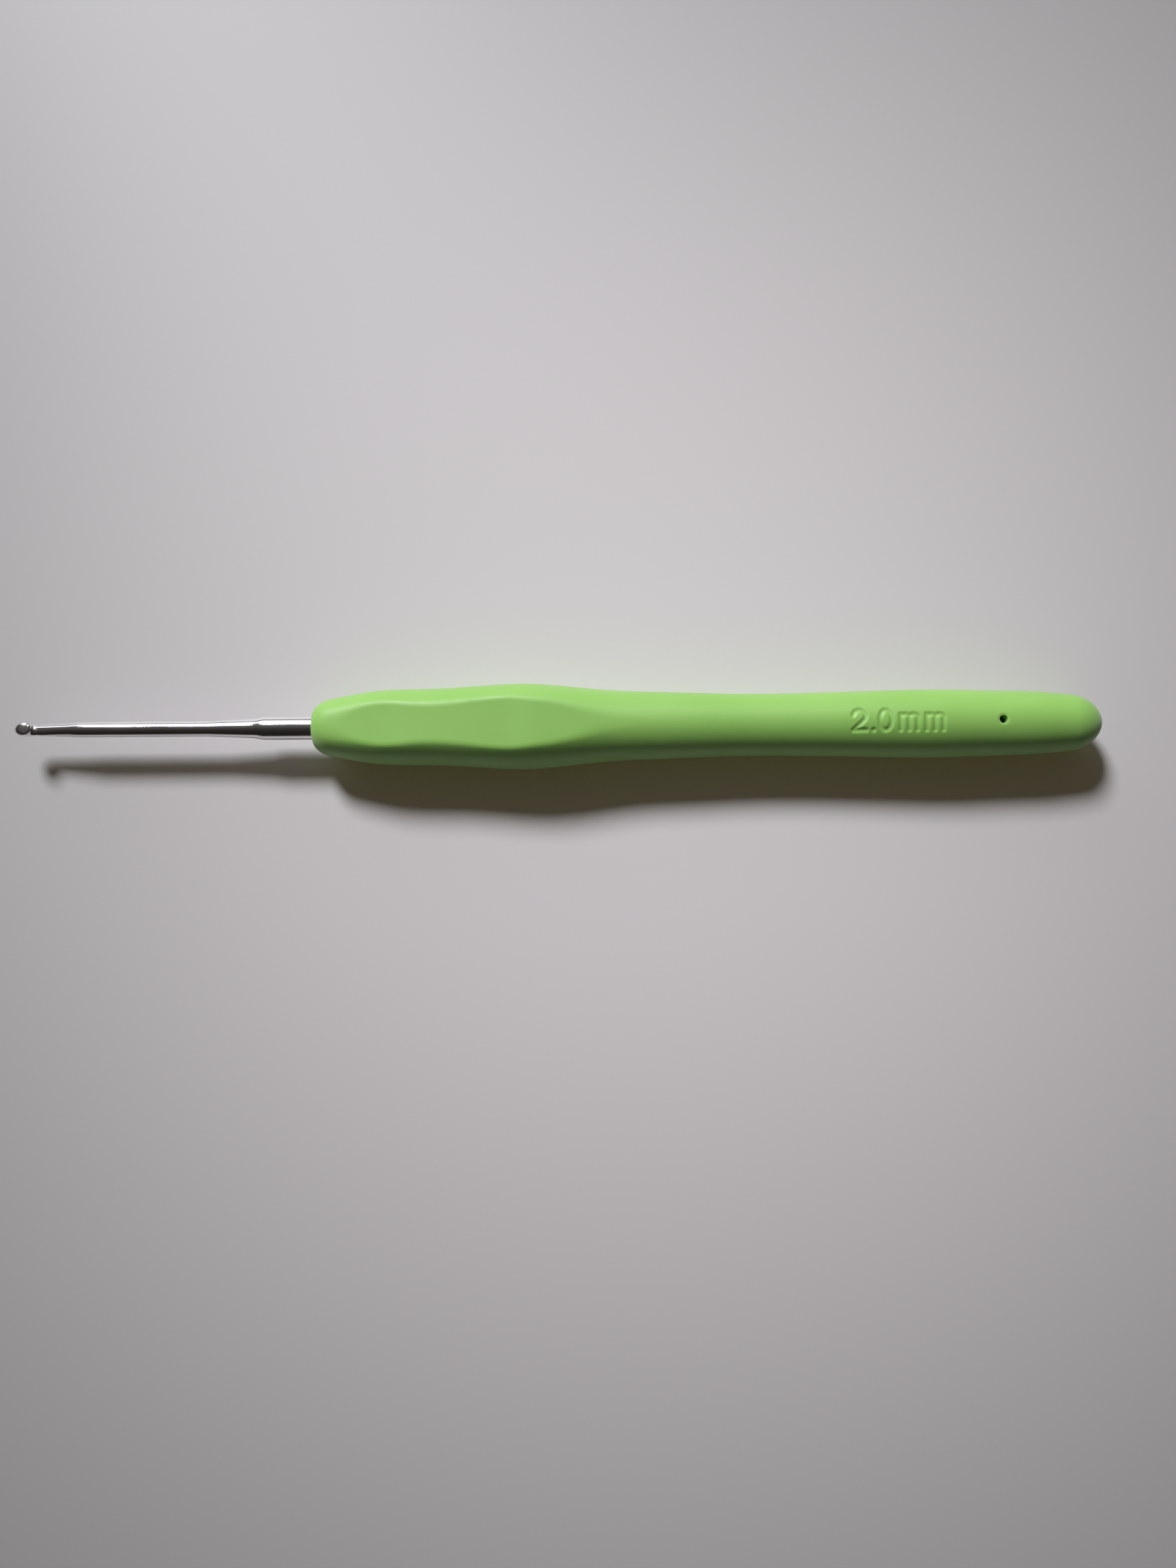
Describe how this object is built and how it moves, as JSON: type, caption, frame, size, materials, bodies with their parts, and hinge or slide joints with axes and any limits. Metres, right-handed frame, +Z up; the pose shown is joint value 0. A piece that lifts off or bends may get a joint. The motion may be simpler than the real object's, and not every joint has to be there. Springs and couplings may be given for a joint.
{
  "type": "crochet hook",
  "caption": "Slim metal crochet hook in a soft contoured handle with flat thumb pads, for catching yarn and drawing it through loops.",
  "frame": {"origin": "under the middle of the object, on the surface it rests on", "axes": "+X from the hook's tip to the butt of the handle, +Z up through the upper thumb pad, with the mouth of the hook turned 5 degrees from it towards +Y, Y across the width"},
  "size_m": [0.141, 0.011, 0.0093],
  "materials": {
    "polished_aluminium": "polished bright, with fine marks along the shaft",
    "core_plastic": "rigid moulded plastic, hidden but for the floor of the locating hole",
    "soft_rubber": "soft-touch thermoplastic elastomer, light green, satin"
  },
  "bodies": {
    "root": {"hook_shaft": "polished_aluminium", "grip_core": "core_plastic", "soft_grip": "soft_rubber"}
  },
  "joints": []
}
